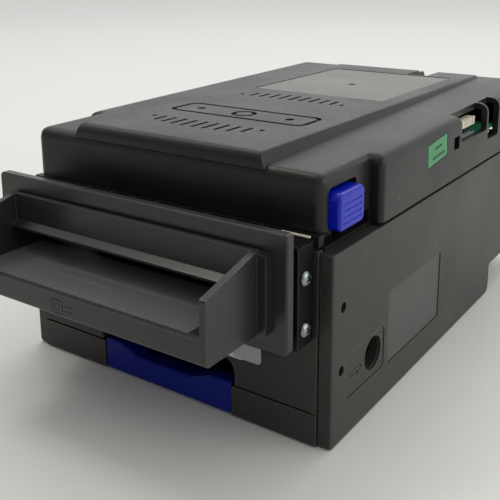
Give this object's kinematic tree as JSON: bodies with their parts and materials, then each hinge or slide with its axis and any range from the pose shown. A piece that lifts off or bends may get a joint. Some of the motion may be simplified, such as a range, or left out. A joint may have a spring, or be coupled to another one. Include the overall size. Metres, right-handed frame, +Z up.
{
  "type": "bill validator",
  "caption": "Compact banknote validator with an open note tray, a hinged cover over a belt transport, a side release button and a blue-handled base slide.",
  "frame": {"origin": "middle of the underside, on the surface that it stands on", "axes": "+Z up, +Y from the note tray to the rear, +X to the right of someone facing the tray"},
  "size_m": [0.13, 0.24, 0.0903],
  "materials": {
    "black_moulding": "fine spark-eroded grain, satin",
    "cover_moulding": "fine spark-eroded grain, satin",
    "bezel_moulding": "smooth satin dark grey",
    "frame_moulding": "plain moulded black",
    "guide_plastic": "polished note path",
    "handle_blue": "smooth satin dark blue",
    "button_blue": "semi-gloss bright blue",
    "label_grey": "satin film label",
    "label_dark": "satin film label",
    "sticker_green": "paper sticker",
    "tab_white": "translucent film",
    "tab_clear": "translucent film",
    "felt": "pale felt",
    "connector_cream": "moulded nylon",
    "board_green": "solder-masked laminate",
    "zinc_steel": "zinc plated",
    "bright_steel": "ground steel",
    "bush_bronze": "sintered bronze",
    "gear_nylon": "natural acetal",
    "roller_rubber": "matt rubber"
  },
  "bodies": {
    "chassis": {"left_side_panel": "black_moulding", "right_side_panel": "black_moulding", "side_label": "label_dark", "lock_plate": "black_moulding", "chassis_frame": "frame_moulding", "rear_panel": "black_moulding", "rear_connector": "connector_cream", "front_panel": "black_moulding", "bezel": "bezel_moulding", "bezel_mount": "black_moulding", "mount_screw_left_lower": "zinc_steel", "mount_screw_left_upper": "zinc_steel", "mount_screw_right_lower": "zinc_steel", "mount_screw_right_upper": "zinc_steel", "harness_tab_white": "tab_white", "harness_tab_clear": "tab_clear", "lower_guide": "guide_plastic", "entry_guide": "guide_plastic", "front_bush_left": "bush_bronze", "front_bush_right": "bush_bronze", "rear_bush_left": "bush_bronze", "rear_bush_right": "bush_bronze", "transport_belt_left": "roller_rubber", "transport_belt_right": "roller_rubber", "idler_axle": "bright_steel", "feed_motor": "bright_steel", "hinge_pin_left": "bright_steel", "hinge_pin_right": "bright_steel", "main_board": "board_green"},
    "cover": {"top_cover": "cover_moulding", "upper_guide": "guide_plastic", "top_label": "label_grey", "sensor_board": "board_green", "pin_header": "connector_cream", "aux_connector": "connector_cream", "inspection_sticker": "sticker_green", "seal_strip": "felt"},
    "release": {"release_button": "button_blue", "latch_hook": "black_moulding", "release_spring": "bright_steel"},
    "slide": {"base_slide": "black_moulding", "pull_handle": "handle_blue", "handle_screw_l": "zinc_steel", "handle_screw_r": "zinc_steel"},
    "lock": {"lock_cam": "frame_moulding"},
    "front_roller": {"front_drive_shaft": "bright_steel", "front_pulley_left": "gear_nylon", "front_pulley_right": "gear_nylon"},
    "rear_roller": {"rear_drive_shaft": "bright_steel", "rear_pulley_left": "gear_nylon", "rear_pulley_right": "gear_nylon", "drive_gear": "gear_nylon"},
    "idler": {"idler_gear": "gear_nylon"},
    "pinion": {"motor_pinion": "gear_nylon"},
    "front_pinch": {"front_pinch_shaft": "bright_steel", "front_pinch_roller_left": "roller_rubber", "front_pinch_roller_right": "roller_rubber"},
    "rear_pinch": {"rear_pinch_shaft": "bright_steel", "rear_pinch_roller_left": "roller_rubber", "rear_pinch_roller_right": "roller_rubber"}
  },
  "joints": [
    {"name": "cover_open", "type": "hinge", "parent": "chassis", "child": "cover", "pos_m": [0, 0.113, 0.0715], "axis": [-1, 0, 0], "range_deg": [0, 60]},
    {"name": "release_press", "type": "slide", "parent": "cover", "child": "release", "axis": [-1, 0, 0], "range_m": [0, 0.0025], "stiffness_N_per_m": 400, "springref_m": -0.002, "deforming": ["release_spring"]},
    {"name": "base_slide_out", "type": "slide", "parent": "chassis", "child": "slide", "axis": [0, -1, 0], "range_m": [0, 0.09]},
    {"name": "lock_turn", "type": "hinge", "parent": "chassis", "child": "lock", "pos_m": [0.0576, -0.0501, 0.021], "axis": [1, 0, 0], "range_deg": [0, 90]},
    {"name": "rear_roller_spin", "type": "hinge", "parent": "chassis", "child": "rear_roller", "pos_m": [0, 0.075, 0.055], "axis": [1, 0, 0], "continuous": true},
    {"name": "front_roller_spin", "type": "hinge", "parent": "chassis", "child": "front_roller", "pos_m": [0, -0.044, 0.055], "axis": [1, 0, 0], "continuous": true},
    {"name": "idler_spin", "type": "hinge", "parent": "chassis", "child": "idler", "pos_m": [0, 0.07006, 0.04142], "axis": [1, 0, 0], "continuous": true},
    {"name": "pinion_spin", "type": "hinge", "parent": "chassis", "child": "pinion", "pos_m": [0, 0.06755, 0.02719], "axis": [1, 0, 0], "continuous": true},
    {"name": "front_pinch_spin", "type": "hinge", "parent": "cover", "child": "front_pinch", "pos_m": [0, -0.044, 0.0688], "axis": [1, 0, 0], "continuous": true},
    {"name": "rear_pinch_spin", "type": "hinge", "parent": "cover", "child": "rear_pinch", "pos_m": [0, 0.075, 0.0688], "axis": [1, 0, 0], "continuous": true}
  ],
  "couplings": [
    {"joint": "front_roller_spin", "follows": "rear_roller_spin", "ratio": 1},
    {"joint": "idler_spin", "follows": "rear_roller_spin", "ratio": -0.5},
    {"joint": "pinion_spin", "follows": "rear_roller_spin", "ratio": 1}
  ]
}
